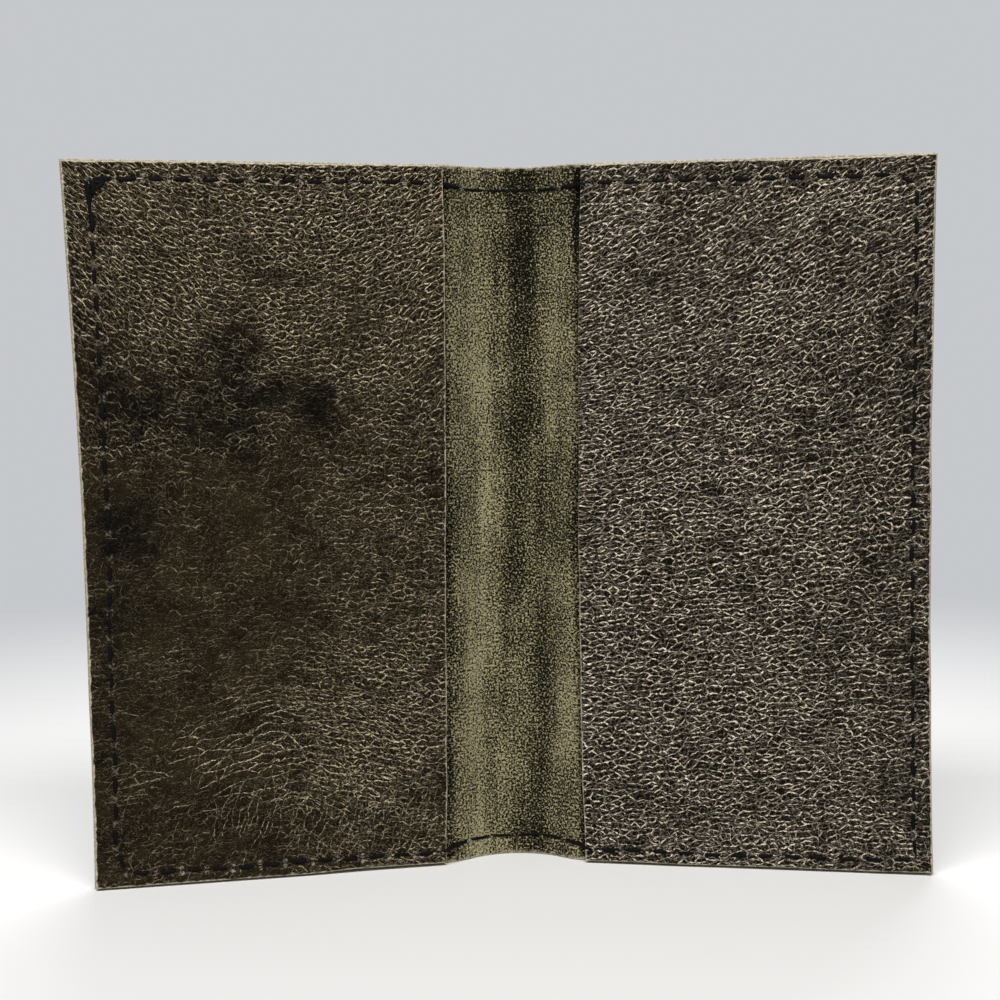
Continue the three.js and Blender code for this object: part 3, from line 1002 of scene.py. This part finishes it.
def build_cover(name, wing):
    """One half of the cover: grain leather outside, suede inside, bending at its fold."""
    width = (wing.reach_low + wing.reach_high) / 2 + wing.half_spine
    columns = stations(0.0, width, COVER_STEP, cut_start=False)
    rows = stations(0.0, wing.height, COVER_STEP)
    across, up = np.meshgrid(columns, rows)
    edge = np.minimum(width - across, np.minimum(up, wing.height - up))
    out = across / width * (wing.reach(up) + wing.half_spine) - wing.half_spine
    drop = cut_drop(edge)
    signed = wing.side * (out + wing.half_spine)
    grain = pebbles(signed + 200.0, up, seed=91, cell=(1.6, 1.15), slant=0.05)
    fold_lines = hump(out, 2.2) * creases(up, signed + 200.0, seed=95, length=9.0, spacing=0.8)
    top_row, bottom_row = wing.spine_rows
    rise, seam, upright = sewn(out, up, np.concatenate([top_row, wing.holes, bottom_row[::-1]]))
    outside = -(wing.cover_half - drop + 0.06 * grain - 0.08 * fold_lines + rise)
    kept = np.flatnonzero((columns < wing.half_spine + wing.mouth + 1.5)
                          | (np.arange(len(columns)) % HIDDEN_STEP == 0)
                          | (columns > width - CUT_ROUNDING * 4))
    nap = 0.05 * noise(signed / 1.1, up / 1.1, seed=97) + 0.03 * noise(signed / 0.5, up / 0.5, seed=98)
    near_top_seam = hump(up - (wing.height - SPINE_SEAM_TOP), 0.9)
    near_seam = np.maximum(near_top_seam, hump(up - SPINE_SEAM_BOTTOM, 0.9))
    inside = (wing.cover_half - drop + nap - 0.12 * near_seam)[:, kept]
    ragged = 0.18 * noise(signed / 0.6, up / 0.6, seed=99)
    raw = ease(RAW_WIDTH, RAW_WIDTH * 0.55, edge + 0.5 * ragged)
    on_spine = ease(3.0, 1.0, out)
    raw_inside = ease(COVER_RAW_WIDTH - 0.35 * on_spine, 0.2, edge + ragged)
    place = np.stack([signed, up, np.zeros(out.shape)], axis=-1)
    fold = hump(out, 1.6)
    even = np.ones(out.shape)
    looks = {
        "place": place, "grain": place, "seam": seam, "upright": upright,
        "bold": 0.85 + 0.2 * noise(signed / 12.0, up / 12.0, seed=94) + 0.3 * ease(-1.0, -5.0, out),
        "wrinkled": 0.1 + 0.4 * fold, "gathered": 0.0 * even,
        # painted shade along the fold lines, and painted highlights at the holes
        "stain_and_shade": 0.5 * fold, "hole_highlight": 0.6 * even, "raw": raw,
    }
    hidden = {key: value[:, kept] for key, value in looks.items()}
    hidden["place"] = hidden["place"] - [0.0, 0.0, 2 * wing.cover_half]
    hidden["raw"] = raw_inside[:, kept]
    hidden["stain_and_shade"] = spine_darkening(wing, out, up)[:, kept]
    made = sheet_mesh(
        name, wing.place(out, outside, up), wing.place(out[:, kept], inside, up[:, kept]), kept,
        [cover_leather, suede], looks, hidden, turned=wing.side > 0, flat_start=True)
    start, end = wing.bend()
    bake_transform(made)
    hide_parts(wing.panel, "cover_spine")


for wing in (left, right):
    wing.holes = wing_holes(wing)
    wing.spine_rows = [from_fold(wing, holes) for holes in (
        spine_holes(wing.height - SPINE_SEAM_TOP, seed=51), spine_holes(SPINE_SEAM_BOTTOM, seed=52))]

build_cover("cover_left_half", left)
build_cover("cover_right_half", right)
build_pocket("left_pocket_hide", left, left_leather,
             (left_relief, left_climb, left_bold, left_wrinkled, left_gathered, left_stain))
build_pocket("right_pocket_hide", right, right_leather,
             (right_relief, right_climb, right_bold, right_wrinkled, right_gathered, right_outer_darkening))


# The stitches

def knot(wing):
    """The loops of a knot at the top corner, and the stitches beside it sewn over twice.

    Each has its two ends, how far it bows sideways and how far it lies over the leather.
    """
    corner = wing.holes[wing.corner_hole]
    along = wing.holes[wing.corner_hole - 1] - corner
    down = wing.holes[wing.corner_hole + 1] - corner
    loops = [
        (-0.12 * along - 0.12 * down, 0.65 * down, 0.15, 0.12),
        (0.1 * along - 0.1 * down, 0.1 * along + 0.6 * down, -0.2, 0.16),
        (-0.1 * along, 0.75 * along + 0.1 * down, 0.1, 0.1),
        (0.05 * along + 0.4 * down, 0.65 * along + 0.05 * down, 0.1, 0.14),
        (0.05 * down, 0.4 * along + 0.3 * down, 0.05, 0.15),
        (0.0, along, -0.22, 0.05),
        (0.0, down, 0.2, 0.05),
        (0.1 * along + 0.45 * down, 1.25 * down, 0.25, 0.06),
        (along, 1.9 * along, 0.2, 0.03),
        (down, 1.95 * down, -0.2, 0.03),
    ]
    return [(corner + start, corner + end, shift, raised) for start, end, shift, raised in loops]


def build_stitches():
    """Both threads of the seam: on the wings, over the folds and across the spine."""
    for wing in (left, right):
        word = "left" if wing.side < 0 else "right"

        def on_pocket(out, up, wing=wing):
            return pocket_face(wing, out, up)

        def on_back(out, up, wing=wing):
            return np.full(np.shape(out), -wing.cover_half)

        def over_fold(out, up, wing=wing):
            step = ease(wing.mouth - 1.3, wing.mouth + 0.3, out)
            return wing.cover_half + step * (pocket_face(wing, out, up) - wing.cover_half)

        face = thread_mesh(f"{word}_face_stitches", wing, wing.holes, on_pocket, 1, thread)
        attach(face, wing.body)
        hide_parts(f"{word}_face_thread")
        if wing is left:
            tied = thread_mesh("left_knot", wing, wing.holes[:1], on_pocket, 1, thread,
                               dive=0.16, bulk=1.15, taper=0.45, extra=knot(wing))
            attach(tied, wing.body)
        back = thread_mesh(f"{word}_back_stitches", wing, wing.holes, on_back, -1, thread)
        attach(back, wing.body)
        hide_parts(f"{word}_back_thread")
        start, end = wing.bend()
        for row, wing_end, spine_row in (("top", 0, 0), ("bottom", -1, 1)):
            bridge = np.array([wing.spine_rows[spine_row][-1], wing.holes[wing_end]])
            for layer, level, outward in (("face", over_fold, 1), ("back", on_back, -1)):
                piece = thread_mesh(
                    f"{word}_fold_{row}_{layer}_stitch", wing, bridge, level, outward, thread,
                    dive=0.1, bulk=1.25, taper=0.6)
                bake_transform(piece)

    def on_suede(out, up):
        return np.full(np.shape(out), right.cover_half)

    def on_spine_back(out, up):
        return np.full(np.shape(out), -right.cover_half)

    for row, holes in zip(("top", "bottom"), right.spine_rows):
        for layer, level, outward in (("face", on_suede, 1), ("back", on_spine_back, -1)):
            piece = thread_mesh(
                f"spine_{row}_{layer}_stitches", right, holes, level, outward, thread,
                dive=0.08, bulk=0.8, taper=0.35)
            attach(piece, "spine")
            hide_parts(f"spine_{row}_{layer}_thread")


build_stitches()


# Floor, lights and camera

OBJECT_MIDDLE = (0.0, 0.0, 0.05)         # in metres


def build_floor():
    """A pale disc that catches the shadow near the object and fades into the backdrop, in metres."""
    radius = 1.6
    steps = 96
    fade_start = 0.11
    fade_end = 0.36
    ring = np.linspace(0.0, 2 * math.pi, steps, endpoint=False)
    points = np.stack([radius * np.cos(ring), radius * np.sin(ring), np.zeros(steps)], axis=-1)
    shader = Shader("pale_floor")
    where = shader.node("ShaderNodeNewGeometry", {}).outputs["Position"]
    distance = shader.vector_math("LENGTH", where)
    fade = shader.ramp(distance, fade_start, fade_end)
    shader.surface.inputs["Base Color"].default_value = (0.8, 0.805, 0.815, 1.0)
    shader.surface.inputs["Roughness"].default_value = 0.7
    shader.surface.inputs["Specular IOR Level"].default_value = 0.2
    clear = shader.node("ShaderNodeBsdfTransparent", {})
    both = shader.node("ShaderNodeMixShader", {
        0: fade, 1: shader.surface.outputs["BSDF"], 2: clear.outputs["BSDF"]})
    shader.feed(shader.tree.nodes["Material Output"].inputs["Surface"], both.outputs["Shader"])
    floor = make_mesh("floor", points, [list(range(steps))], [shader.material])


def build_world():
    """A grey backdrop for the camera and for reflections, and a weak white fill light for the rest."""
    world = bpy.data.worlds.new("studio")
    world.use_nodes = True
    nodes = Nodes(world.node_tree)
    path = nodes.node("ShaderNodeLightPath", {}).outputs
    mirrored = nodes.math("MAXIMUM", path["Is Glossy Ray"], path["Is Transmission Ray"])
    shown = nodes.math("MAXIMUM", path["Is Camera Ray"], mirrored)
    seen = nodes.node("ShaderNodeBackground", {"Color": (0.56, 0.575, 0.6, 1.0)})
    fill = nodes.tree.nodes["Background"]
    fill.inputs["Color"].default_value = (1.0, 0.99, 0.97, 1.0)
    fill.inputs["Strength"].default_value = 0.14
    both = nodes.node("ShaderNodeMixShader", {
        0: shown, 1: fill.outputs["Background"], 2: seen.outputs["Background"]})
    nodes.feed(nodes.tree.nodes["World Output"].inputs["Surface"], both.outputs["Shader"])
    bpy.context.scene.world = world


def add_light(name, place, size, watts, colour):
    """A soft rectangular lamp that looks at the object's middle, in metres."""
    light = bpy.data.lights.new(name, "AREA")
    light.shape = "RECTANGLE"
    light.size = size[0]
    light.size_y = size[1]
    light.energy = watts
    light.color = colour
    lamp = bpy.data.objects.new(name, light)
    lamp.location = place
    lamp.rotation_euler = (Vector(OBJECT_MIDDLE) - Vector(place)).to_track_quat("-Z", "Y").to_euler()
    bpy.context.scene.collection.objects.link(lamp)


def build_camera():
    """The photograph's camera, in front of the open holder and looking a little down at it."""
    spine_middle = (left.fold[0] + right.fold[0]) / 2
    place = Vector((spine_middle - CAMERA_LEFT, left.fold[1] - CAMERA_FORWARD, CAMERA_HEIGHT)) * MM
    data = bpy.data.cameras.new("camera")
    data.sensor_width = CAMERA_SENSOR
    data.lens = CAMERA_LENS
    camera = bpy.data.objects.new("camera", data)
    camera.matrix_world = (
        Matrix.Translation(place)
        @ Matrix.Rotation(math.radians(CAMERA_PAN), 4, "Z")
        @ Matrix.Rotation(math.radians(90.0 - CAMERA_DROP), 4, "X")
        @ Matrix.Rotation(math.radians(CAMERA_ROLL), 4, "Z")
    )
    bpy.context.scene.collection.objects.link(camera)
    bpy.context.scene.camera = camera


build_floor()
build_world()
add_light("overhead_softbox", place=(-0.04, -0.36, 0.56), size=(0.6, 0.18),
          watts=5.2, colour=(1.0, 0.98, 0.95))
add_light("back_light", place=(0.1, 0.6, 0.5), size=(0.6, 0.4),
          watts=3.0, colour=(1.0, 1.0, 1.0))
build_camera()
bpy.context.scene.view_settings.view_transform = "Standard"
